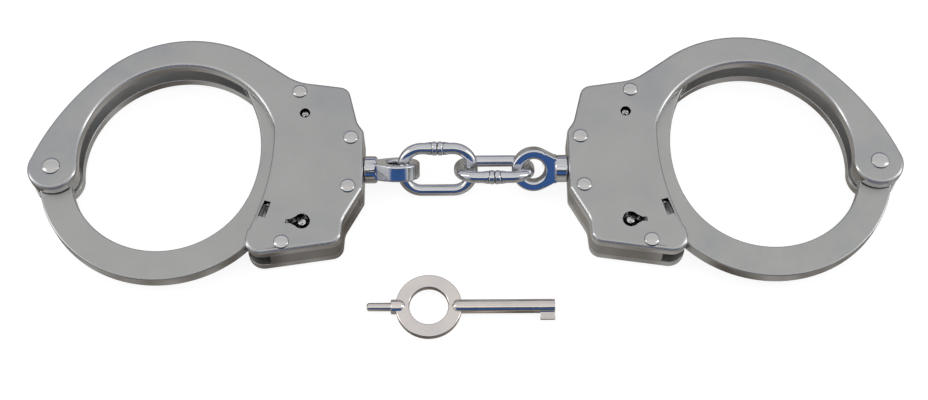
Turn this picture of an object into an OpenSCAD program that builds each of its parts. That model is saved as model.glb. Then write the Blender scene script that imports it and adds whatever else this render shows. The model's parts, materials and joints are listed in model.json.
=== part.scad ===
// A pair of chain-linked handcuffs with their key, lying flat.
// Millimetres, +Z up. X runs along the chain and Y across it. The origin is the middle of the
// bounding box at the surface that the cuffs lie on.
// Each cuff is drawn in its own frame: the strand's pivot is at (0, 0), +X points to the chain
// and z = 0 is the middle of the cuff's thickness. The right cuff is the left one turned half a
// turn about Y.

/* [Cuff] */
// Distance from the middle of the chain to each strand pivot
pivot_x = 113.9; // [113.6:0.1:118]
// Height of the chain's axis over the pivot, across the cuff
axis_rise = 1; // [0.6:0.1:1.4]
// Thickness of each cheek plate
cheek_t = 3.1; // [2.6:0.1:3.6]
// Gap between the two cheek plates
gap_t = 5.2; // [5.2:0.1:5.6]
// Radius of the round boss at the pivot
boss_r = 6.9; // [6.7:0.1:7.1]
// Radius of the outer edge of the cheek arm
arm_outer_r = 34.5; // [34:0.1:35]
// Radius of the inner edge of the cheek arm
arm_inner_r = 27.4; // [27:0.1:27.6]

/* [Strand] */
// Thickness of the single strand
strand_t = 4.4; // [4:0.1:4.6]
// Inner radius of the strand's bow
bow_inner_r = 25.7; // [25:0.1:26]
// Outer radius of the strand's bow
bow_outer_r = 34.3; // [33.8:0.1:34.4]
// Distance from the pivot to the points of the ratchet teeth
tooth_tip_r = 64.3; // [64.2:0.05:64.4]
// Depth of the ratchet teeth
tooth_depth = 1.05; // [0.9:0.05:1.1]
// Angle from one ratchet tooth to the next, in degrees
tooth_pitch = 2.2; // [2.2:0.1:2.3]
// Number of ratchet teeth
tooth_count = 19; // [15:1:19]

/* [Rivets] */
// Radius of the shanks of the four case rivets
rivet_r = 1.8; // [1.6:0.05:1.85]
// Radius of the heads of the four case rivets
rivet_head_r = 2.1; // [2:0.05:2.4]
// Radius of the pivot rivet's shank
pivot_r = 2; // [1.8:0.05:2.1]
// Radius of the pivot rivet's head
pivot_head_r = 2.5; // [2.3:0.05:2.8]
// Height of every rivet head
head_h = 0.7; // [0.6:0.05:0.8]

/* [Chain] */
// Diameter of the chain link's wire
wire_d = 3.2; // [3:0.1:3.3]
// Distance between the middles of a link's two long runs
link_w = 12.4; // [12:0.1:12.4]
// Length of a link's long straight run
link_run = 8.8; // [8.6:0.1:8.8]
// Length of the straight bar across each end of a link
link_end = 2; // [1.6:0.1:2.4]
// Roll of the left link about the chain, in degrees
link_roll = 48; // [42:1:50]
// Distance from the middle of the chain to each swivel eye
eye_x = 18.8; // [18.7:0.05:18.9]
// Outer radius of the swivel eye
eye_r = 6; // [5.8:0.1:6.2]
// Radius of the hole in the swivel eye
eye_hole_r = 3.2; // [3.2:0.05:3.3]
// Thickness of the swivel eye
eye_t = 4.6; // [4.2:0.1:4.8]
// Roll of the left swivel about the chain, in degrees
left_swivel_roll = -50; // [-54:1:-46]
// Roll of the right swivel about the chain, in degrees
right_swivel_roll = -42; // [-46:1:-38]
// Radius of the swivel's collar outside the case
collar_r = 3.8; // [3.5:0.1:4]

/* [Key] */
// Distance from the chain's axis to the key's axis
key_drop = 39.2; // [36:0.1:42]
// Outer radius of the key's ring
ring_r = 8.95; // [8.6:0.05:9.2]
// Radius of the hole in the key's ring
ring_hole_r = 5.3; // [5:0.05:5.6]
// Thickness of the key's ring
ring_t = 2.1; // [2:0.1:2.6]
// Diameter of the key's barrel
barrel_d = 3.8; // [3.6:0.05:3.9]

/* [Hidden] */
$fn = 96;

plate_steel = [0.72, 0.71, 0.69];
bright_steel = [0.82, 0.83, 0.85];
dark_steel = [0.42, 0.42, 0.43];
nickel = [0.76, 0.75, 0.72];

// heights, measured from the middle of the cuff's thickness
inner_z = gap_t / 2;
outer_z = inner_z + cheek_t;
mid_z = outer_z + head_h;
head_rim = 0.2;

// cuff outline: centres of its arcs
boss_c = [0.2, 0];
arm_outer_c = [35.8, 5.8];
arm_inner_c = [34.2, 4.2];
flank_r = 70;
// how far curves that blend into each other lap, so that they cross and don't only touch
lap = 0.04;
throat_c = [-9.2, 8];
throat_r = 69.8;
arm_top = arm_outer_c.y + arm_outer_r;

// the chain's axis over the origin, so that the box of the whole set is centred on Y
axis_y = (key_drop + ring_r - (arm_top - axis_rise)) / 2;

// rivets and openings of the lock case
rivet_a = [67.4, 23];
rivet_b = [82.1, 8.3];
rivet_c = [81.6, -6.6];
rivet_d = [64.2, -23.2];
keyhole = [69.5, -17.1];
keyhole_r = 2.2;
keyslot_l = 4.5;
keyslot_w = 1.2;
keyslot_flare = [-3.1, -1.4];
plunger_at = [69.1, 16.1];
plunger_r = 0.95;
plunger_hole_r = 1.45;
window_at = [59.3, -13.5];
window_size = [1.9, 4.7];
window_lean = -17;
rivet_play = 0.02;
run_play = 0.06;

// lock case outline: x, y and corner radius, anticlockwise from the lower left
case_pts = [
    [52.9, -27.4, 4.4], [80.1, -23.4, 3.4], [80.5, -16.8, 6], [85.6, -7.4, 1.6],
    [85.6, 10.4, 1.6], [83.7, 13.2, 6], [81, 24.3, 3.2], [66.4, 26.4, 14], [55.6, 34, 0],
    [48, 30, 0], [48, -16, 0], [55.6, -16, 0]
];
case_face_x = 85.6;
// space inside the case that the pawl, the lock bar and the key bit move in
cavity_pts = [
    [50, -20.2, 0], [66.6, -20.2, 0.5], [67.6, -22.2, 0.5], [77.3, -21.2, 1.2],
    [77.7, -15.5, 2], [79.5, -9.3, 2], [79.5, 18.6, 1.5], [78.2, 20.2, 1], [50, 20.2, 0]
];
sweep_clear = 0.7;
strand_exit = [61, -20];
block_y = [-9.2, 11];
wall_split = 0.15;

// strand outline
bow_c = [30.2, 1.7];
neck_c = [18.8, 6.1];
neck_r = 38;
tip_inner_r = 57.8;
strand_root_r = tooth_tip_r - tooth_depth;
tip_angle = 31.5;
tooth_start = -10.2;
strand_boss_r = 6.4;

// pawl
pawl_at = [70, 9];
pawl_boss_r = 3;
pawl_pin_r = 1.2;
pawl_t = 4.2;
pawl_lift = 4.4;
pawl_face_r = tooth_tip_r + 0.2;
pawl_tooth_r = tooth_tip_r - 0.65;
pawl_pin_depth = 1.4;

// keyhole post and the tongue that holds it
post_r = 1.1;
post_foot_r = 1.9;
post_depth = 0.6;
tongue_w = 2.6;
tongue_t = 0.8;
tongue_end = -24;
tongue_play = 0.05;

// leaf springs: centre, radius and angles of each arc of strip, its thickness and its height
pawl_spring_c = [76.3, -13.7];
pawl_spring_r = 5.9;
pawl_spring_t = 0.6;
pawl_spring_h = 3.8;
detent_spring_c = [81.9, 12.3];
detent_spring_r = 5.8;
detent_spring_t = 0.5;
detent_spring_h = 3;

// lock bar and the push pin that works it
lock_bar_t = 3.8;
plunger_depth = 0.9;
plunger_collar = 0.3;
plunger_collar_t = 1.2;

// swivel, measured along the chain
shank_r = 2;
collar_l = 3.65;
collar_gap = 0.15;
collar_bevel = 0.5;
neck_w = 7.4;
neck_root = 3;
eye_inner_edge = 0.9;
eye_outer_edge = 0.7;
washer_r = inner_z - 0.1;
washer_x = [76.7, 79.2];
case_x = pivot_x - case_face_x;

// butt weld of a chain link: how much thicker it is than the wire, its length and its tapers
weld_grow = 0.7;
weld_l = 3.2;
weld_taper = 1.4;

// key, measured along its own axis from the middle of the chain
ring_x = -10.3;
barrel_end_x = 23.7;
bit_l = 4;
bit_reach = 3.9;
bit_t = 0.8;
barrel_bore_r = 1.2;
barrel_bore_l = 9;
pin_tip_x = -27;
pin_r = 1.15;
ferrule_r = 2;
ferrule_in = 0.9;
ferrule_l = 1.3;
barrel_overlap = 0.9;
pin_bevel = 0.4;
pin_l = ring_x - ring_r + 0.6 - pin_tip_x;

function unit(v) = v / norm(v);
function ray(a, r) = r * [cos(a), sin(a)];
function flat(p) = [p.x, p.y];
function half_angle(a, b, c) = acos(unit(a - b) * unit(c - b)) / 2;
function turns_left(a, b, c) = (b.x - a.x) * (c.y - b.y) > (b.y - a.y) * (c.x - b.x);
function heading(v) = atan2(v.y, v.x);

// centre of the arc of radius r that holds circles (a, ra) and (b, rb) inside it and touches both
function wrap_centre(a, ra, b, rb, r) = let (
    d = norm(b - a), u = (b - a) / d,
    along = ((r - ra) * (r - ra) - (r - rb) * (r - rb) + d * d) / (2 * d))
    a + along * u + sqrt((r - ra) * (r - ra) - along * along) * [u.y, -u.x];
flank_c = wrap_centre(boss_c, boss_r - lap, arm_outer_c, arm_outer_r - lap, flank_r);

// polygon whose corners are [x, y, radius], each rounded by a true arc
module rounded(pts) {
    n = len(pts);
    before = [for (i = [0:n - 1]) flat(pts[(i + n - 1) % n])];
    here = [for (p = pts) flat(p)];
    after = [for (i = [0:n - 1]) flat(pts[(i + 1) % n])];
    half = [for (i = [0:n - 1]) half_angle(before[i], here[i], after[i])];
    cut = [for (i = [0:n - 1]) each pts[i].z == 0 ? [here[i]] : [
        here[i] + unit(before[i] - here[i]) * pts[i].z / tan(half[i]),
        here[i] + unit(after[i] - here[i]) * pts[i].z / tan(half[i])]];
    centre = [for (i = [0:n - 1]) here[i]
        + unit(unit(before[i] - here[i]) + unit(after[i] - here[i])) * pts[i].z / sin(half[i])];
    round_at = [for (i = [0:n - 1]) if (pts[i].z > 0) i];
    difference() {
        union() {
            polygon(cut);
            for (i = round_at) if (turns_left(before[i], here[i], after[i]))
                translate(centre[i]) circle(pts[i].z);
        }
        for (i = round_at) if (!turns_left(before[i], here[i], after[i]))
            translate(centre[i]) circle(pts[i].z);
    }
}

// pie slice of a disc
module slice(c, r, a0, a1) {
    steps = 4;
    intersection() {
        translate(c) circle(r);
        polygon(concat([c], [for (i = [0:steps]) c + ray(a0 + (a1 - a0) * i / steps, 2 * r)]));
    }
}

module plate(z0, z1) translate([0, 0, z0]) linear_extrude(z1 - z0) children();

// rivet head that stands on z = 0: a low dome over a short upright rim
module rivet_head(r) {
    rise = head_h - head_rim;
    ball = (r * r + rise * rise) / (2 * rise);
    intersection() {
        translate([0, 0, head_h - ball]) sphere(ball);
        cylinder(r = r, h = head_h);
    }
}

// rivet through the whole cuff with a head on each side
module rivet(shank, head) {
    translate([0, 0, -outer_z]) cylinder(r = shank, h = 2 * outer_z);
    translate([0, 0, outer_z]) rivet_head(head);
    mirror([0, 0, 1]) translate([0, 0, outer_z]) rivet_head(head);
}

module case_outline() rounded(case_pts);

// inside edge of the cheeks, round the wrist
module wrist_void() intersection() {
    translate(throat_c) circle(throat_r);
    union() {
        translate(arm_inner_c) circle(arm_inner_r);
        translate([20, -19]) square([45, 24]);
    }
}

module cheek_outline() {
    difference() {
        union() {
            intersection() {
                translate(arm_outer_c) circle(arm_outer_r);
                translate([-30, 0]) square([100, 60]);
            }
            slice(flank_c, flank_r, heading(arm_outer_c - flank_c), heading(boss_c - flank_c));
            case_outline();
        }
        wrist_void();
        translate([-30, -60]) square([60, 60]);
    }
    translate(boss_c) circle(boss_r);
}

module keyhole_cut() translate(keyhole) {
    circle(keyhole_r);
    translate([-keyslot_l, -keyslot_w / 2]) square([keyslot_l, keyslot_w]);
    flare_y = sqrt(pow(keyhole_r - 2 * lap, 2) - pow(keyslot_flare[1], 2));
    polygon([[keyslot_flare[0], keyslot_w / 2], [keyslot_flare[0], -keyslot_w / 2],
        [keyslot_flare[1], -flare_y], [keyslot_flare[1], flare_y]]);
}

module window_cut() translate(window_at) rotate(window_lean) square(window_size, center = true);

module case_rivet_spots() for (p = [rivet_a, rivet_b, rivet_c, rivet_d]) translate(p) children();

module cheek() difference() {
    plate(inner_z, outer_z) difference() {
        cheek_outline();
        circle(pivot_r + rivet_play);
        case_rivet_spots() circle(rivet_r + rivet_play);
        keyhole_cut();
        window_cut();
        translate(plunger_at) circle(plunger_hole_r);
    }
    translate([pawl_at.x, pawl_at.y, inner_z - 1])
        cylinder(r = pawl_pin_r + rivet_play, h = pawl_pin_depth + 1.1);
}

module front_cheek() color(plate_steel) cheek();
module rear_cheek() color(plate_steel) mirror([0, 0, 1]) cheek();

// inside edge of the strand: bow, blend and the stretch that the case holds
module strand_void() {
    translate(bow_c) circle(bow_inner_r);
    slice(neck_c, neck_r, -21.1, 18);
    slice([0, 0], tip_inner_r, 17.9, 60);
}

module strand_tooth(a) polygon([
    ray(a, strand_root_r - 0.6), ray(a + 0.15, tooth_tip_r), ray(a + 0.45, tooth_tip_r),
    ray(a + tooth_pitch, strand_root_r - 0.05), ray(a + tooth_pitch, strand_root_r - 0.6)]);

module strand_outline() {
    tip_r = (strand_root_r - tip_inner_r) / 2;
    difference() {
        intersection() {
            union() {
                slice(bow_c, bow_outer_r, 182, 270);
                slice(bow_c, bow_outer_r, 269, 355);
                slice([0, 0], strand_root_r, -11, tip_angle);
            }
            circle(strand_root_r);
        }
        strand_void();
    }
    translate(ray(tip_angle, tip_inner_r + tip_r)) circle(tip_r);
    for (i = [0:tooth_count - 1]) strand_tooth(tooth_start + tooth_pitch * i);
    circle(strand_boss_r);
}

module strand() color(bright_steel)
    plate(-strand_t / 2, strand_t / 2) difference() {
        strand_outline();
        circle(pivot_r + run_play);
    }

module pivot_rivet() color(bright_steel) rivet(pivot_r, pivot_head_r);
module case_rivets() color(bright_steel) case_rivet_spots() rivet(rivet_r, rivet_head_r);

// walls of the case, between the cheeks
module wall_outline(y0, y1) intersection() {
    difference() {
        case_outline();
        rounded(cavity_pts);
        circle(tooth_tip_r + sweep_clear);
        translate([40, -40]) square([strand_exit.x - 40, strand_exit.y + 40]);
        case_rivet_spots() circle(rivet_r + rivet_play);
    }
    translate([40, y0]) square([60, y1 - y0]);
}

// tongue that holds the keyhole post in the lower wall
module post_tongue(grow) translate([keyhole.x - tongue_w / 2 - grow, tongue_end - grow])
    square([tongue_w + 2 * grow, keyhole.y - tongue_end + grow]);

module upper_spacer() color(plate_steel)
    plate(-inner_z, inner_z) wall_outline(block_y[1] + wall_split, 40);

module lower_spacer() color(plate_steel) difference() {
    plate(-inner_z, inner_z) wall_outline(-40, block_y[0] - wall_split);
    plate(-tongue_t / 2 - tongue_play, tongue_t / 2 + tongue_play) post_tongue(tongue_play);
}

module swivel_block() color(plate_steel) difference() {
    plate(-inner_z, inner_z) wall_outline(block_y[0], block_y[1]);
    translate([70, axis_rise, 0]) rotate([0, 90, 0]) cylinder(r = shank_r + run_play, h = 30);
}

// tooth of the pawl, which seats against the strand tooth whose steep face is at angle a
module pawl_tooth(a) polygon([
    ray(a - 0.2, pawl_face_r + 0.5), ray(a - 0.25, pawl_tooth_r), ray(a - 0.45, pawl_tooth_r),
    ray(a - 1.75, pawl_face_r + 0.1), ray(a - 1.75, pawl_face_r + 0.5)]);

// pawl as it sits when its teeth are home in the strand
module pawl_outline() difference() {
    union() {
        difference() {
            rounded([[60, -11.6, 0], [71.4, -11.6, 0.4], [71.4, -20.5, 0.6], [74.6, -20.5, 1],
                [74.8, -11, 2], [70.9, -9, 2], [70.9, -1.2, 0.3], [69.6, -0.4, 0.3],
                [69.6, 5, 1.5], [72, 8, 0], [68, 11, 0], [60, 2, 0]]);
            circle(pawl_face_r);
        }
        for (i = [1:3]) pawl_tooth(tooth_start + tooth_pitch * i);
        translate(pawl_at) circle(pawl_boss_r);
    }
    translate(pawl_at) circle(pawl_pin_r + run_play);
}

// shown lifted clear of the strand, as the turned key holds it
module pawl() color(dark_steel) translate(pawl_at) rotate(pawl_lift) translate(-pawl_at)
    plate(-pawl_t / 2, pawl_t / 2) pawl_outline();

module pawl_pin() color(bright_steel) translate(pawl_at)
    cylinder(r = pawl_pin_r, h = 2 * (inner_z + pawl_pin_depth), center = true);

// leaf springs are arcs of strip that stand on edge
module strip(c, r, t, a0, a1) difference() {
    slice(c, r + t / 2, a0, a1);
    translate(c) circle(r - t / 2);
}

module pawl_spring() color(bright_steel)
    plate(-pawl_spring_h / 2, pawl_spring_h / 2)
        strip(pawl_spring_c, pawl_spring_r, pawl_spring_t, 60, 124);

module detent_spring() color(bright_steel)
    plate(-detent_spring_h / 2, detent_spring_h / 2)
        strip(detent_spring_c, detent_spring_r, detent_spring_t, 116, 244);

module lock_bar() color(dark_steel) plate(-lock_bar_t / 2, lock_bar_t / 2) rounded([
    [71.75, 0, 0.2], [75.6, 0, 0.6], [75.6, 19.4, 0.6], [70.5, 19.4, 0.6], [70.5, 16.4, 0.6],
    [73.4, 16.4, 0.6], [73.4, 4.6, 0.6], [71.15, 4.6, 0.3], [71.15, 2.4, 0]]);

// pin that is pushed from either face, with a collar that bears on the lock bar
module lock_plunger() color(bright_steel) translate(plunger_at) {
    cylinder(r = plunger_r, h = 2 * (outer_z - plunger_depth), center = true);
    cylinder(r = plunger_r + plunger_collar, h = plunger_collar_t, center = true);
}

module keyhole_post() color(bright_steel) {
    translate(keyhole) cylinder(r = post_r, h = 2 * (outer_z - post_depth), center = true);
    plate(-tongue_t / 2, tongue_t / 2) union() {
        translate(keyhole) circle(post_foot_r);
        post_tongue(0);
    }
}

// flat ring of the swivel eye with rounded edges, about Z
module eye_ring() rotate_extrude() rounded([
    [eye_hole_r, -eye_t / 2, eye_inner_edge], [eye_r, -eye_t / 2, eye_outer_edge],
    [eye_r, eye_t / 2, eye_outer_edge], [eye_hole_r, eye_t / 2, eye_inner_edge]]);

// flat neck that widens from the collar until its sides touch the eye, which is centred at (reach, 0)
module eye_neck(reach) {
    corner = [collar_gap + collar_l - reach, neck_w / 2];
    touch = heading(corner) - acos(eye_r / norm(corner));
    side = [reach, 0] + ray(touch, eye_r - lap);
    plate(-eye_t / 2, eye_t / 2) difference() {
        polygon([[neck_root, neck_w / 2], corner + [reach, 0], side, [side.x, -side.y],
            [corner.x + reach, -corner.y], [neck_root, -neck_w / 2]]);
        translate([reach, 0]) circle((eye_r + eye_hole_r) / 2);
    }
}

// swivel drawn along +X from the case, with the eye at the far end
module swivel_shape() {
    reach = case_x - eye_x;
    translate([reach, 0, 0]) eye_ring();
    eye_neck(reach);
    rotate([0, 90, 0]) {
        translate([0, 0, collar_gap]) cylinder(r = collar_r, h = collar_l - collar_bevel);
        translate([0, 0, collar_gap + collar_l - collar_bevel])
            cylinder(r1 = collar_r, r2 = collar_r - collar_bevel, h = collar_bevel);
        translate([0, 0, washer_x[0] - case_face_x - 0.2])
            cylinder(r = shank_r, h = case_face_x - washer_x[0] + 0.7);
    }
}

module swivel(roll) color(bright_steel) translate([case_face_x, axis_rise, 0])
    rotate([roll, 0, 0]) swivel_shape();

module swivel_washer() color(bright_steel) translate([washer_x[0], axis_rise, 0])
    rotate([0, 90, 0]) difference() {
        cylinder(r = washer_r, h = washer_x[1] - washer_x[0]);
        translate([0, 0, -1]) cylinder(r = shank_r + rivet_play, h = 5);
    }

// a link's long run or end bar, centred on the origin along X
module wire_bar(l) rotate([0, 90, 0]) cylinder(d = wire_d, h = l, center = true);

// oval link in the XY plane, welded half way along the run at +Y
module link_shape() {
    bend_r = (link_w - link_end) / 2;
    for (turn = [0, 180]) rotate(turn) {
        translate([0, link_w / 2, 0]) wire_bar(link_run);
        translate([link_run / 2 + bend_r, 0, 0]) rotate(90) wire_bar(link_end);
        for (s = [-1, 1]) translate([link_run / 2, s * link_end / 2, 0])
            rotate(s > 0 ? 0 : -90) rotate_extrude(angle = 90)
                translate([bend_r, 0]) circle(d = wire_d);
    }
    translate([0, link_w / 2, 0]) rotate([0, 90, 0]) {
        cylinder(d = wire_d + weld_grow, h = weld_l, center = true);
        for (s = [0, 1]) mirror([0, 0, s]) translate([0, 0, weld_l / 2])
            cylinder(d1 = wire_d + weld_grow, d2 = wire_d, h = weld_taper);
    }
}

// the two links cross at the middle of the chain and bear on each other, but for this play
link_play = 0.2;
link_mid_x = (link_run + link_w - link_end - wire_d - link_play) / 2;

module chain_link(side, roll) color(bright_steel)
    translate([side * link_mid_x, axis_y, mid_z]) rotate([roll, 0, 0]) link_shape();

module chain_link_left() chain_link(-1, link_roll);
module chain_link_right() chain_link(1, link_roll + 90);

// key pieces, on their own axis along X
module on_key_axis() translate([0, axis_y - key_drop, ferrule_r]) children();

// rod along +X from x with a ball end there
module round_rod(x, r, l) translate([x, 0, 0]) {
    sphere(r);
    rotate([0, 90, 0]) cylinder(r = r, h = l);
}

barrel_start_x = ring_x + ring_r - barrel_overlap;
module barrel_rod() round_rod(barrel_start_x, barrel_d / 2, barrel_end_x - barrel_start_x);

module key_ring() color(nickel) on_key_axis() difference() {
    union() {
        translate([ring_x, 0, 0]) cylinder(r = ring_r, h = ring_t, center = true);
        mirror([1, 0, 0]) round_rod(ring_r - ring_x - ferrule_in, ferrule_r, ferrule_in + ferrule_l);
    }
    translate([ring_x, 0, 0]) cylinder(r = ring_hole_r, h = 10, center = true);
    translate([pin_tip_x, 0, 0]) rotate([0, 90, 0])
        cylinder(r = pin_r + rivet_play, h = pin_l);
    barrel_rod();
}

module key_barrel() color(nickel) on_key_axis() difference() {
    union() {
        barrel_rod();
        translate([barrel_end_x - bit_l, -bit_reach, -bit_t / 2])
            cube([bit_l, bit_reach, bit_t]);
    }
    translate([barrel_end_x - barrel_bore_l, 0, 0]) rotate([0, 90, 0])
        cylinder(r = barrel_bore_r, h = barrel_bore_l + 1);
}

module key_actuator_pin() color(nickel) on_key_axis() translate([pin_tip_x, 0, 0])
    rotate([0, 90, 0]) {
        translate([0, 0, pin_bevel]) cylinder(r = pin_r, h = pin_l - pin_bevel);
        cylinder(r1 = pin_r - pin_bevel, r2 = pin_r, h = pin_bevel);
    }

module left() translate([-pivot_x, axis_y - axis_rise, mid_z]) children();
module right() translate([pivot_x, axis_y - axis_rise, mid_z]) rotate([0, 180, 0]) children();

left() front_cheek();  // left_front_cheek
left() rear_cheek();  // left_rear_cheek
left() strand();  // left_strand
left() pivot_rivet();  // left_pivot_rivet
left() case_rivets();  // left_case_rivets
left() upper_spacer();  // left_upper_spacer
left() lower_spacer();  // left_lower_spacer
left() swivel_block();  // left_swivel_block
left() pawl();  // left_pawl
left() pawl_pin();  // left_pawl_pin
left() pawl_spring();  // left_pawl_spring
left() lock_bar();  // left_lock_bar
left() detent_spring();  // left_detent_spring
left() lock_plunger();  // left_lock_plunger
left() keyhole_post();  // left_keyhole_post
left() swivel(left_swivel_roll);  // left_swivel
left() swivel_washer();  // left_swivel_washer
chain_link_left();
chain_link_right();
right() rear_cheek();  // right_front_cheek
right() front_cheek();  // right_rear_cheek
right() strand();  // right_strand
right() pivot_rivet();  // right_pivot_rivet
right() case_rivets();  // right_case_rivets
right() upper_spacer();  // right_upper_spacer
right() lower_spacer();  // right_lower_spacer
right() swivel_block();  // right_swivel_block
right() pawl();  // right_pawl
right() pawl_pin();  // right_pawl_pin
right() pawl_spring();  // right_pawl_spring
right() lock_bar();  // right_lock_bar
right() detent_spring();  // right_detent_spring
right() lock_plunger();  // right_lock_plunger
right() keyhole_post();  // right_keyhole_post
right() swivel(right_swivel_roll);  // right_swivel
right() swivel_washer();  // right_swivel_washer
key_ring();
key_barrel();
key_actuator_pin();
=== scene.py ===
import bpy
import bmesh
import json
import math
from mathutils import Matrix, Vector

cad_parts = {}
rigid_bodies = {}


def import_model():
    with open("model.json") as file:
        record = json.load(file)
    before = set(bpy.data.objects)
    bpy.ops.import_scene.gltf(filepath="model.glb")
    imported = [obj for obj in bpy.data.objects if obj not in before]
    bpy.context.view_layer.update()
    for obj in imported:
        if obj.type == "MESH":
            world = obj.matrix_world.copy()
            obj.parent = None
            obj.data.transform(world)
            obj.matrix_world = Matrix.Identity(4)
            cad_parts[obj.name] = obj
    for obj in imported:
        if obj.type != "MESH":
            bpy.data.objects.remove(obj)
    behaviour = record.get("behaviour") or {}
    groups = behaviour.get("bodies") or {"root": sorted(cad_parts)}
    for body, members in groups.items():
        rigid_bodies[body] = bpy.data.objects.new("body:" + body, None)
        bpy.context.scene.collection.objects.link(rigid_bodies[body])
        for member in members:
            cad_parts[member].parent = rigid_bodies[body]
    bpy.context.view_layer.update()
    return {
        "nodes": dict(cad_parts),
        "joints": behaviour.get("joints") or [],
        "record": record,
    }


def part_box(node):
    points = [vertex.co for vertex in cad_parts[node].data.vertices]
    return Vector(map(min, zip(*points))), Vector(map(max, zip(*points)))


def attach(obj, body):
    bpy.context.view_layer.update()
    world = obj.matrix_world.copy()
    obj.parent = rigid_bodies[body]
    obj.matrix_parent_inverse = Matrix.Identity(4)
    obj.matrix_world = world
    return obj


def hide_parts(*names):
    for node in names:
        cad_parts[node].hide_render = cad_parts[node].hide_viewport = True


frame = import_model()
nodes = frame["nodes"]
MM = 0.001

# ---------------------------------------------------------------- places, in metres, from the frame
JOINTS = {j["name"]: j for j in frame["joints"]}
CHAIN_Y = JOINTS["left_swivel_spin"]["pos_m"][1]
CHAIN_Z = JOINTS["left_swivel_spin"]["pos_m"][2]
PLATE_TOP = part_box("left_front_cheek")[1].z


# ---------------------------------------------------------------- camera
LENS = 57.2
SENSOR = 36.0
EYE = Vector((-0.0019, -0.184, 0.3735))
AIM = Vector((-0.0006, -0.0122, PLATE_TOP))


def make_camera():
    data = bpy.data.cameras.new("camera")
    data.lens = LENS
    data.sensor_width = SENSOR
    data.clip_start = 0.01
    camera = bpy.data.objects.new("camera", data)
    bpy.context.scene.collection.objects.link(camera)
    eye = EYE + Vector((0, CHAIN_Y, 0))
    look = (AIM - EYE).to_track_quat("-Z", "Y").to_matrix().to_4x4()
    camera.matrix_world = Matrix.Translation(eye) @ look
    bpy.context.scene.camera = camera
    bpy.context.scene.view_settings.view_transform = "Standard"


make_camera()


# ---------------------------------------------------------------- shader helpers
class Graph:
    """The node tree of a material or a world, with short calls for the nodes used here."""

    def __init__(self, owner, shader="Principled BSDF"):
        owner.use_nodes = True
        self.owner = owner
        self.tree = owner.node_tree
        self.shader = self.tree.nodes[shader]
        self.coords = self.add("ShaderNodeTexCoord").outputs

    def add(self, kind, **settings):
        node = self.tree.nodes.new(kind)
        for key, value in settings.items():
            setattr(node, key, value)
        return node

    def put(self, socket, value):
        if isinstance(value, bpy.types.NodeSocket):
            self.tree.links.new(value, socket)
        else:
            socket.default_value = value

    def noise(self, scale, detail=3.0, rough=0.5):
        node = self.add("ShaderNodeTexNoise")
        self.put(node.inputs["Vector"], self.coords["Object"])
        node.inputs["Scale"].default_value = scale
        node.inputs["Detail"].default_value = detail
        node.inputs["Roughness"].default_value = rough
        return node.outputs["Fac"]

    def ramp(self, fac, stops):
        node = self.add("ShaderNodeValToRGB")
        band = node.color_ramp
        while len(band.elements) < len(stops):
            band.elements.new(0.5)
        for element, (place, colour) in zip(band.elements, stops):
            element.position = place
            element.color = (*colour, 1) if len(colour) == 3 else colour
        self.put(node.inputs["Fac"], fac)
        return node.outputs["Color"]

    def band(self, fac, low, high, out_low, out_high):
        node = self.add("ShaderNodeMapRange")
        for key, value in zip(
            ("From Min", "From Max", "To Min", "To Max"), (low, high, out_low, out_high)
        ):
            node.inputs[key].default_value = value
        self.put(node.inputs["Value"], fac)
        return node.outputs["Result"]

    def math(self, operation, a, b=0.0):
        node = self.add("ShaderNodeMath", operation=operation)
        self.put(node.inputs[0], a)
        self.put(node.inputs[1], b)
        return node.outputs[0]

    def mix(self, fac, a, b):
        node = self.add("ShaderNodeMix", data_type="RGBA")
        self.put(node.inputs["Factor"], fac)
        self.put(node.inputs["A"], a)
        self.put(node.inputs["B"], b)
        return node.outputs["Result"]

    def bump(self, height, strength, distance, normal=None):
        node = self.add("ShaderNodeBump")
        node.inputs["Strength"].default_value = strength
        node.inputs["Distance"].default_value = distance
        self.put(node.inputs["Height"], height)
        if normal is not None:
            self.put(node.inputs["Normal"], normal)
        return node.outputs["Normal"]

    def facing_up(self):
        """1 on the flat faces of a plate that lies in XY, 0 on its rims and edges."""
        split = self.add("ShaderNodeSeparateXYZ")
        self.put(split.inputs["Vector"], self.coords["Normal"])
        return self.math("ABSOLUTE", split.outputs["Z"])


def scaled(colour, factor):
    """The colour made lighter or darker, no brighter than 1."""
    return tuple(min(1.0, c * factor) for c in colour)


def steel(name, colour, rough, grain=0.5, edge_rough=None, edge_colour=None):
    """Tumbled satin stainless steel: fine grain and dents, soft clouding, and polished rims that
    are smoother and carry painted shading in their base colour.
    """
    g = Graph(bpy.data.materials.new(name))
    grit = g.noise(7000, detail=2, rough=0.6)
    dents = g.noise(2600, detail=3, rough=0.55)
    cloud = g.noise(55, detail=5, rough=0.6)
    smear = g.noise(420, detail=3, rough=0.6)
    cool = (colour[0] * 0.95, colour[1] * 0.975, colour[2] * 1.03)
    base = g.ramp(cloud, [(0.3, scaled(cool, 0.93)), (0.5, colour), (0.72, scaled(colour, 1.06))])
    base = g.mix(g.band(dents, 0.60, 0.78, 0.0, 0.16), base, (*scaled(colour, 0.55), 1))
    roughness = g.math("ADD", g.band(dents, 0.3, 0.7, rough - 0.03, rough + 0.04),
                       g.band(smear, 0.3, 0.7, -0.025, 0.025))
    if edge_rough is not None:
        flat = g.band(g.facing_up(), 0.6, 0.98, 0.0, 1.0)
        roughness = g.math("ADD", g.math("MULTIPLY", roughness, flat),
                           g.math("MULTIPLY", g.math("SUBTRACT", 1.0, flat), edge_rough))
        # Painted shading on the rims: a base colour of their own, lighter for a painted highlight
        # line, darker for a painted dark line.
        base = g.mix(flat, (*edge_colour, 1), base)
    g.put(g.shader.inputs["Base Color"], base)
    g.put(g.shader.inputs["Roughness"], roughness)
    g.shader.inputs["Metallic"].default_value = 1.0
    fine = g.bump(grit, 0.30 * grain, 0.00003)
    g.put(g.shader.inputs["Normal"], g.bump(dents, 0.28 * grain, 0.00007, fine))
    return g.owner


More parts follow.
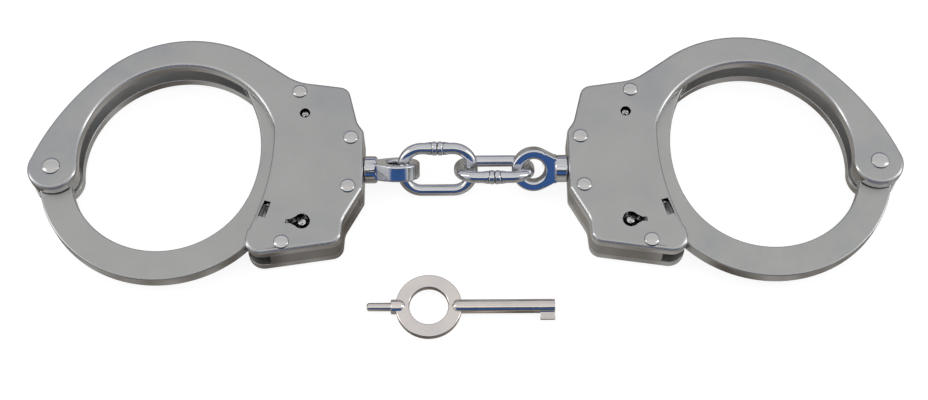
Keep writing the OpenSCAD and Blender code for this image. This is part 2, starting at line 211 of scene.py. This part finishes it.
def polished(name, colour, rough, worn, rim=1.0):
    """Polished metal with faint ripples, dings and finger haze, and painted shade darkening its
    upright faces.
    """
    g = Graph(bpy.data.materials.new(name))
    haze = g.noise(190, detail=4, rough=0.6)
    ding = g.noise(900, detail=2, rough=0.5)
    ripple = g.noise(330, detail=2, rough=0.4)
    base = g.ramp(haze, [(0.3, scaled(colour, 0.9)), (0.7, colour)])
    # Painted shade: the upright faces are darkened to rim times the colour.
    if rim < 1.0:
        base = g.mix(g.band(g.facing_up(), 0.55, 0.9, 0.0, 1.0), (*scaled(colour, rim), 1), base)
    g.put(g.shader.inputs["Base Color"], base)
    g.put(g.shader.inputs["Roughness"], g.band(haze, 0.3, 0.75, rough, rough + 0.06))
    g.shader.inputs["Metallic"].default_value = 1.0
    waves = g.bump(ripple, 0.25 * worn, 0.00025)
    g.put(g.shader.inputs["Normal"], g.bump(ding, 0.2 * worn, 0.00008, waves))
    return g.owner


# Cheek and strand rims get a lighter base colour: a painted highlight along their rounded edges.
CHEEK = steel("cheek_steel", (0.54, 0.54, 0.53), rough=0.33, grain=0.5,
              edge_rough=0.17, edge_colour=(0.68, 0.68, 0.69))
STRAND = steel("strand_steel", (0.54, 0.54, 0.525), rough=0.31, grain=0.5,
               edge_rough=0.2, edge_colour=(0.60, 0.60, 0.60))
WALL = steel("case_wall_steel", (0.46, 0.45, 0.435), rough=0.36, grain=0.7)
LOCK = steel("lock_steel", (0.24, 0.21, 0.18), rough=0.42, grain=0.8)
SPRING = steel("spring_steel", (0.36, 0.38, 0.44), rough=0.3, grain=0.5)
# Rivet sides darkened to a quarter: painted shade for the dark line round each head.
RIVET = polished("rivet_steel", (0.76, 0.75, 0.74), rough=0.16, worn=0.8, rim=0.25)
CHAIN = polished("chain_steel", (0.78, 0.79, 0.82), rough=0.08, worn=0.6)
# Near-black steel for the seam and folds of a weld: painted shade in the grooves
SEAM_SHADE = steel("weld_scale", (0.10, 0.09, 0.09), rough=0.4, grain=0.8)
# The key's rims get a darker base colour: a painted dark line along its rounded edges.
KEY = steel("key_nickel", (0.96, 0.89, 0.84), rough=0.2, grain=0.03,
            edge_rough=0.13, edge_colour=(0.86, 0.80, 0.76))
KEY_ROD = polished("key_nickel_drawn", (0.88, 0.82, 0.78), rough=0.1, worn=0.7)
SLOT_MATERIAL = {
    "cheek_steel": CHEEK, "strand_steel": STRAND, "case_wall_steel": WALL, "lock_steel": LOCK,
    "spring_steel": SPRING, "rivet_steel": RIVET, "chain_steel": CHAIN, "key_nickel": KEY,
}


# ---------------------------------------------------------------- carried-over CAD nodes
# Width of the rounding on the edges of each kind of node, in millimetres
EDGE = {
    "upper_spacer": 0.1, "lower_spacer": 0.1, "swivel_block": 0.1, "pawl": 0.12, "lock_bar": 0.12,
    "keyhole_post": 0.25, "lock_plunger": 0.2, "key_barrel": 0.15, "key_actuator_pin": 0.1,
}
EDGE_SEGMENTS = 3
# Edges that turn by more than this are rounded
SHARP = math.radians(42)
# Corners nearer than this are one corner
SAME_PLACE = 0.01 * MM
KEY_RODS = ("key_barrel", "key_actuator_pin")


def plain_name(name):
    """The node's name without its side."""
    return name.replace("left_", "").replace("right_", "")


def even_normals(thing):
    """Smooth shading that keeps the large faces flat."""
    for polygon in thing.data.polygons:
        polygon.use_smooth = True
    normals = thing.modifiers.new("normals", "WEIGHTED_NORMAL")
    normals.keep_sharp = True
    normals.weight = 100


def dress(name, slot_name):
    """Gives a CAD node its material, rounded edges and smooth shading."""
    node = nodes[name]
    node.data.materials.clear()
    node.data.materials.append(KEY_ROD if name in KEY_RODS else SLOT_MATERIAL[slot_name])
    weld = node.modifiers.new("weld", "WELD")
    weld.merge_threshold = SAME_PLACE
    kind = plain_name(name)
    if kind in EDGE:
        round_edge = node.modifiers.new("round_edge", "BEVEL")
        round_edge.width = EDGE[kind] * MM
        round_edge.segments = EDGE_SEGMENTS
        round_edge.limit_method = "ANGLE"
        round_edge.angle_limit = SHARP
        round_edge.use_clamp_overlap = False
    even_normals(node)


for row in frame["record"]["subparts"]:
    dress(row["node"], row["material_slot"])


# ---------------------------------------------------------------- flat parts with rolled rims
BODY = {node: body for body, members in frame["record"]["behaviour"]["bodies"].items()
        for node in members}
SLOT = {row["node"]: row["material_slot"] for row in frame["record"]["subparts"]}
# Radius that each kind of rim is rolled over by
FRONT_ROLL = 1.1 * MM
REAR_ROLL = 0.75 * MM
INSIDE_ROLL = 0.2 * MM
STRAND_ROLL = 0.5 * MM
HOLE_ROLL = 0.12 * MM
CRISP_ROLL = 0.06 * MM
ROLL_STEPS = 5
# A rim longer than this is an outline, and a shorter one is the rim of a hole
LONG_RIM = 25 * MM
# Further than this from its pivot, a strand's rim is its ratchet teeth
ROOT_R = 63.4 * MM
# Shorter steps in an outline are joined, because they would cross when it is rolled over
SHORT_STEP = 0.1 * MM
# Faces that turn by less than this are one flat face
FLAT = math.radians(0.3)
# How far a corner may be from a flat face's height and still lie in it
LEVEL = 0.05 * MM
# Keeps a mitre short where the two walls nearly meet back to back
LEAST_MITRE = 0.4


def stand_for(name, piece):
    """Puts a finished piece in the place of the CAD node of that name."""
    piece.data.materials.append(SLOT_MATERIAL[SLOT[name]])
    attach(piece, BODY[name])
    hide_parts(name)


def new_piece(name, shape):
    mesh = bpy.data.meshes.new(name)
    shape.to_mesh(mesh)
    shape.free()
    piece = bpy.data.objects.new(name, mesh)
    bpy.context.scene.collection.objects.link(piece)
    return piece


def chains(edges):
    """Splits edges into groups that hang together, in the same order on every run."""
    left = dict.fromkeys(edges)
    while left:
        group = []
        reach = [left.popitem()[0]]
        while reach:
            edge = reach.pop()
            group.append(edge)
            near = [e for vert in edge.verts for e in vert.link_edges if e in left]
            for e in near:
                del left[e]
            reach.extend(near)
        yield group


def flat_copy(name, merge):
    """Editable copy of a CAD node with corners nearer than merge made one and flat faces joined."""
    shape = bmesh.new()
    shape.from_mesh(nodes[name].data)
    bmesh.ops.remove_doubles(shape, verts=shape.verts, dist=merge)
    bmesh.ops.dissolve_limit(shape, angle_limit=FLAT, verts=shape.verts, edges=shape.edges)
    return shape


def at_level(thing, z):
    """Whether an edge or a face lies flat at height z."""
    return all(abs(vert.co.z - z) < LEVEL for vert in thing.verts)


def mitre(walls):
    """Direction that moves a corner away from its two walls, long enough to clear both by 1."""
    a, b = walls[0], walls[-1]
    return -(a + b) / max(LEAST_MITRE, 1 + a.dot(b))


def roll_cap(shape, z, up, width_at):
    """Takes off the flat cap at height z, rolls its rims by a quarter round and fills it in."""
    shape.normal_update()
    caps = [face for face in shape.faces if at_level(face, z)]
    bmesh.ops.delete(shape, geom=caps, context="FACES")
    rim = [edge for edge in shape.edges if edge.is_boundary and at_level(edge, z)]
    walls = {}
    width = {}
    for group in chains(rim):
        is_long = sum(edge.calc_length() for edge in group) > LONG_RIM
        for edge in group:
            normal = edge.link_faces[0].normal.xy.normalized()
            for vert in edge.verts:
                walls.setdefault(vert, []).append(normal)
                width[vert] = width_at(vert.co) if is_long else HOLE_ROLL
    rings = {}
    for vert, normals in walls.items():
        away = mitre(normals)
        roll = width[vert]
        start = Vector((vert.co.x, vert.co.y, z - up * roll))
        ring = [vert]
        for k in range(1, ROLL_STEPS + 1):
            angle = math.radians(90) * k / ROLL_STEPS
            inset = away * (roll * (1 - math.cos(angle)))
            rise = Vector((inset.x, inset.y, up * roll * math.sin(angle)))
            ring.append(shape.verts.new(start + rise))
        vert.co = start
        rings[vert] = ring
    inner = []
    for edge in rim:
        one, two = (rings[vert] for vert in edge.verts)
        for k in range(ROLL_STEPS):
            shape.faces.new((one[k], two[k], two[k + 1], one[k + 1]))
        inner.append(shape.edges.get((one[ROLL_STEPS], two[ROLL_STEPS])))
    bmesh.ops.triangle_fill(shape, use_beauty=True, edges=inner)


def rolled_skin(name, high_roll, low_roll, crisp=None):
    """Copy of a flat part with its long rims rolled over and the rims of its holes left crisp."""
    low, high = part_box(name)
    shape = flat_copy(name, SHORT_STEP)
    for z, up, roll in ((high.z, 1, high_roll), (low.z, -1, low_roll)):
        roll_cap(shape, z, up, lambda co: CRISP_ROLL if crisp and crisp(co) else roll)
    bmesh.ops.recalc_face_normals(shape, faces=shape.faces)
    piece = new_piece(name + "_skin", shape)
    stand_for(name, piece)
    even_normals(piece)


def on_ratchet(pivot):
    """Test for a point on the ratchet teeth of the strand that turns on this pivot."""
    return lambda co: (co.xy - pivot.xy).length > ROOT_R


for side in ("left", "right"):
    rolled_skin(side + "_front_cheek", FRONT_ROLL, INSIDE_ROLL)
    rolled_skin(side + "_rear_cheek", INSIDE_ROLL, REAR_ROLL)
    hub = Vector(JOINTS[side + "_strand_swing"]["pos_m"])
    rolled_skin(side + "_strand", STRAND_ROLL, STRAND_ROLL, on_ratchet(hub))


SOFT_SEGMENTS = 4


def soft_copy(name, roll):
    """Copy of a solid part with every outward edge rounded."""
    shape = flat_copy(name, SHORT_STEP)
    edges = [edge for edge in shape.edges if edge.is_manifold and edge.is_convex
             and edge.calc_face_angle() > SHARP]
    bmesh.ops.bevel(shape, geom=edges, offset=roll, offset_type="OFFSET",
                    segments=SOFT_SEGMENTS, profile=0.5, affect="EDGES", clamp_overlap=False)
    piece = new_piece(name + "_soft", shape)
    stand_for(name, piece)
    even_normals(piece)


# ---------------------------------------------------------------- chain links, with their welds
WIRE_R = 1.6 * MM
LINK_HALF_W = 6.2 * MM
LINK_HALF_RUN = 4.4 * MM
LINK_HALF_END = 1.0 * MM
LINK_BEND = LINK_HALF_W - LINK_HALF_END
WELD_HALF_L = 3.6 * MM
WELD_BULGE = 0.35 * MM
SEAM_DEPTH = 0.36 * MM
SEAM_HALF_W = 0.17 * MM
FOLD_AT = 1.6 * MM
FOLD_DEPTH = 0.16 * MM
WANDER = 0.16 * MM
WIRE_SIDES = 32
RUN_STEPS = 44
BEND_STEPS = 16


def quarter_path():
    """Points of a quarter of the oval, from the middle of the long run to the end bar's middle."""
    points = [(LINK_HALF_RUN * i / RUN_STEPS, LINK_HALF_W) for i in range(RUN_STEPS)]
    for i in range(BEND_STEPS + 1):
        angle = math.radians(90 - 90 * i / BEND_STEPS)
        points.append((LINK_HALF_RUN + LINK_BEND * math.cos(angle),
                       LINK_HALF_END + LINK_BEND * math.sin(angle)))
    return points


def oval_path():
    """Points all round the middle of the wire."""
    quarter = quarter_path()
    right = quarter + [(x, -y) for x, y in reversed(quarter)]
    return right + [(-x, y) for x, y in reversed(right[1:-1])]


def weld_grooves(x, turn):
    """How far a point of the wire is from the crooked weld seam, and from the fold either side."""
    wander = WANDER * math.sin(3 * turn + 1.0)
    return abs(x - 0.4 * wander), abs(abs(x) - FOLD_AT - wander)


def weld_swell(x, turn):
    """How far the wire stands out at the weld: a bulge with a seam and two shallow folds."""
    reach = abs(x) / WELD_HALF_L
    if reach >= 1:
        return 0.0
    bulge = WELD_BULGE * (1 - reach ** 3) ** 2
    to_seam, to_fold = weld_grooves(x, turn)
    seam = SEAM_DEPTH * math.exp(-(to_seam / SEAM_HALF_W) ** 2)
    fold = FOLD_DEPTH * math.exp(-(to_fold / (1.4 * SEAM_HALF_W)) ** 2)
    return bulge - seam - fold


def chain_link(name, swing):
    """One link as a wire swept round its oval, that opens across the axis of the joint swing."""
    low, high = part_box(name)
    centre = Vector(((low.x + high.x) / 2, CHAIN_Y, CHAIN_Z))
    across = Vector(JOINTS[swing]["axis"]).normalized()
    along = Vector((1, 0, 0))
    normal = along.cross(across)
    path = oval_path()
    shape = bmesh.new()
    rings = []
    for i, (x, y) in enumerate(path):
        before = Vector(path[i - 1])
        after = Vector(path[(i + 1) % len(path)])
        tangent = (after - before).normalized()
        out = along * tangent.y - across * tangent.x
        middle = centre + along * x + across * y
        ring = []
        for k in range(WIRE_SIDES):
            turn = 2 * math.pi * k / WIRE_SIDES
            radius = WIRE_R + (weld_swell(x, turn) if y > LINK_HALF_END else 0.0)
            ring.append(shape.verts.new(
                middle + out * (-radius * math.cos(turn)) + normal * (radius * math.sin(turn))))
        rings.append(ring)
    for i, ring in enumerate(rings):
        following = rings[(i + 1) % len(rings)]
        x, y = path[i]
        for k in range(WIRE_SIDES):
            j = (k + 1) % WIRE_SIDES
            face = shape.faces.new((ring[k], ring[j], following[j], following[k]))
            to_seam, to_fold = weld_grooves(x, 2 * math.pi * (k + 0.5) / WIRE_SIDES)
            in_groove = to_seam < 0.8 * SEAM_HALF_W or to_fold < 0.5 * SEAM_HALF_W
            # Faces in the seam and folds take the second slot, painted shade in the grooves
            face.material_index = int(y > LINK_HALF_END and in_groove)
    bmesh.ops.recalc_face_normals(shape, faces=shape.faces)
    piece = new_piece(name + "_welded", shape)
    for polygon in piece.data.polygons:
        polygon.use_smooth = True
    stand_for(name, piece)
    # Second slot: the painted shade of the weld's seam and folds
    piece.data.materials.append(SEAM_SHADE)


chain_link("chain_link_left", "left_link_swing")
chain_link("chain_link_right", "right_eye_swing")


# ---------------------------------------------------------------- swivels and key bow, softened
SWIVEL_ROLL = 0.4 * MM
BOW_ROLL = 0.35 * MM
soft_copy("left_swivel", SWIVEL_ROLL)
soft_copy("right_swivel", SWIVEL_ROLL)
soft_copy("key_ring", BOW_ROLL)


# ---------------------------------------------------------------- rivets, with full domed heads
RIVET_SIDES = 48
DOME_STEPS = 9
# How far from the plate's top a corner may be and still lie right under the rivet's head
HEAD_LEVEL = 0.02 * MM


def rivet_profile(head_r, shaft_r, plates, ends):
    """Half section as (radius, z), from the tip of the lower dome to the tip of the upper one."""
    turns = [math.radians(90) * k / DOME_STEPS for k in range(1, DOME_STEPS + 1)]
    lower = [(head_r * math.sin(t), plates[0] + (ends[0] - plates[0]) * math.cos(t)) for t in turns]
    upper = [(head_r * math.sin(t), plates[1] + (ends[1] - plates[1]) * math.cos(t))
             for t in reversed(turns)]
    return lower + [(shaft_r, plates[0]), (shaft_r, plates[1])] + upper


def ring_of_points(centre, radius, z):
    turns = [2 * math.pi * k / RIVET_SIDES for k in range(RIVET_SIDES)]
    return [(centre.x + radius * math.cos(turn), centre.y + radius * math.sin(turn), z)
            for turn in turns]


def lathe(shape, centre, profile, ends):
    """Turns a half section of (radius, z) points round an upright axis and closes both tips."""
    rings = []
    for radius, z in profile:
        rings.append([shape.verts.new(point) for point in ring_of_points(centre, radius, z)])
    for one, two in zip(rings, rings[1:]):
        for k in range(RIVET_SIDES):
            j = (k + 1) % RIVET_SIDES
            shape.faces.new((one[k], one[j], two[j], two[k]))
    for ring, z in ((rings[0], ends[0]), (rings[-1], ends[1])):
        tip = shape.verts.new((centre.x, centre.y, z))
        for k in range(RIVET_SIDES):
            shape.faces.new((ring[k], ring[(k + 1) % RIVET_SIDES], tip))


def domed_rivets(name):
    """Rivets in the places of a CAD node's own, each with a half-ellipse dome on both plates."""
    plates = (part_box("left_rear_cheek")[0].z, PLATE_TOP)
    source = flat_copy(name, SAME_PLACE)
    shape = bmesh.new()
    for solid in chains(source.edges):
        points = [vert.co for edge in solid for vert in edge.verts]
        low = Vector([min(p[i] for p in points) for i in range(3)])
        high = Vector([max(p[i] for p in points) for i in range(3)])
        centre = (low + high) / 2
        head_r = (high.x - low.x) / 2
        under_head = [(p - centre).xy.length for p in points
                      if abs(p.z - PLATE_TOP) < HEAD_LEVEL]
        ends = (low.z, high.z)
        lathe(shape, centre, rivet_profile(head_r, min(under_head), plates, ends), ends)
    source.free()
    bmesh.ops.recalc_face_normals(shape, faces=shape.faces)
    piece = new_piece(name + "_domed", shape)
    stand_for(name, piece)
    even_normals(piece)


for side in ("left", "right"):
    domed_rivets(side + "_case_rivets")
    domed_rivets(side + "_pivot_rivet")


# ---------------------------------------------------------------- stage and light
FLOOR_HALF = 4.0
PAPER_GLOW = 0.86


def make_floor():
    """White paper, clear from below. Steel mirrors it as a dim warm gray, like a real tabletop."""
    mesh = bpy.data.meshes.new("floor")
    shape = bmesh.new()
    bmesh.ops.create_grid(shape, x_segments=2, y_segments=2, size=FLOOR_HALF)
    shape.to_mesh(mesh)
    shape.free()
    floor = bpy.data.objects.new("floor", mesh)
    bpy.context.scene.collection.objects.link(floor)
    g = Graph(bpy.data.materials.new("floor_paper"))
    g.put(g.shader.inputs["Base Color"],
          g.ramp(g.noise(3.0, 2), [(0.0, (0.30, 0.30, 0.30)), (1.0, (0.34, 0.34, 0.34))]))
    g.shader.inputs["Roughness"].default_value = 0.9
    g.shader.inputs["Emission Color"].default_value = (1, 1, 1, 1)
    g.shader.inputs["Emission Strength"].default_value = PAPER_GLOW
    mirrored = g.add("ShaderNodeEmission")
    g.put(mirrored.inputs["Color"], g.ramp(g.noise(45.0, 2), FLOOR_MIRRORED))
    choose = g.add("ShaderNodeMixShader")
    g.put(choose.inputs[0], g.add("ShaderNodeLightPath").outputs["Is Camera Ray"])
    g.put(choose.inputs[1], mirrored.outputs[0])
    g.put(choose.inputs[2], g.shader.outputs[0])
    one_sided = g.add("ShaderNodeMixShader")
    g.put(one_sided.inputs[0], g.add("ShaderNodeNewGeometry").outputs["Backfacing"])
    g.put(one_sided.inputs[1], choose.outputs[0])
    g.put(one_sided.inputs[2], g.add("ShaderNodeBsdfTransparent").outputs[0])
    g.put(g.tree.nodes["Material Output"].inputs["Surface"], one_sided.outputs[0])
    mesh.materials.append(g.owner)


def area_light(name, place, size, radiance, colour=(1, 1, 1)):
    """Soft box aimed at the origin, by its brightness as a mirror would show it."""
    data = bpy.data.lights.new(name, "AREA")
    data.shape = "RECTANGLE"
    data.size, data.size_y = size
    data.energy = radiance * math.pi * size[0] * size[1]
    data.color = colour
    light = bpy.data.objects.new(name, data)
    bpy.context.scene.collection.objects.link(light)
    light.location = place
    light.rotation_euler = (-Vector(place)).to_track_quat("-Z", "Y").to_euler()
    return light


def light_only(light, materials):
    """Lets a light reach only the pieces made of the given materials."""
    group = bpy.data.collections.new(light.name + "_reach")
    for thing in bpy.data.objects:
        if thing.type == "MESH" and thing.data.materials and thing.data.materials[0] in materials:
            group.objects.link(thing)
    light.light_linking.receiver_collection = group


def make_world():
    """A dim room: bands round the chain's axis, from the front horizon over the top to the back."""
    world = bpy.data.worlds.new("studio")
    bpy.context.scene.world = world
    g = Graph(world, "Background")
    split = g.add("ShaderNodeSeparateXYZ")
    g.put(split.inputs["Vector"], g.coords["Generated"])
    toward_front = g.math("MULTIPLY", split.outputs["Y"], -1.0)
    turn = g.math("DIVIDE", g.math("ARCTAN2", split.outputs["Z"], toward_front), math.pi)
    room = g.ramp(turn, [(degrees / 180, colour) for degrees, colour in ROOM])
    sideways = g.band(g.math("ABSOLUTE", split.outputs["X"]), 0.55, 0.8, 0.0, 1.0)
    seen = g.mix(sideways, room, (*ROOM_SIDES, 1))
    straight = g.add("ShaderNodeLightPath").outputs["Is Camera Ray"]
    g.put(g.shader.inputs["Color"], g.mix(straight, seen, (*BACKDROP, 1)))
    g.shader.inputs["Strength"].default_value = 1.0


# What the steel mirrors: the tabletop, the room's far sides, and the room round the chain's axis
FLOOR_MIRRORED = [(0.36, (0.12, 0.105, 0.09)), (0.62, (0.40, 0.385, 0.36))]
ROOM_SIDES = (0.55, 0.56, 0.58)
BACKDROP = (0.96, 0.96, 0.96)
BLUE = (0.045, 0.11, 0.30)
BLACK = (0.012, 0.012, 0.016)
# (degrees up from the front horizon, colour): a blue window, a dark gap, the lit ceiling, the back
ROOM = [
    (0, (0.12, 0.10, 0.08)), (9, BLACK), (16, BLUE), (36, BLUE), (42, BLACK), (48, BLACK),
    (57, (0.95, 0.93, 0.90)), (74, (0.85, 0.84, 0.83)), (79, (0.45, 0.45, 0.45)),
    (86, (0.78, 0.78, 0.78)), (100, (0.68, 0.68, 0.68)), (132, (0.60, 0.60, 0.61)),
    (150, (0.75, 0.75, 0.76)), (162, BLACK), (172, (0.30, 0.34, 0.60)), (180, (0.8, 0.8, 0.85)),
]
SIDE_RADIANCE = 1.6
FILL_RADIANCE = 0.22
WARM = (1.0, 0.85, 0.5)
make_floor()
make_world()
area_light("left", (-0.85, 0.0, 0.40), (0.25, 0.9), SIDE_RADIANCE)
area_light("right", (0.85, 0.0, 0.40), (0.25, 0.9), SIDE_RADIANCE)
fill = area_light("front_fill", (0.0, -2.0, 1.03), (4.0, 1.1), FILL_RADIANCE, WARM)
# The plates, strands and walls would turn deep blue from behind without it
light_only(fill, (CHEEK, STRAND, WALL))
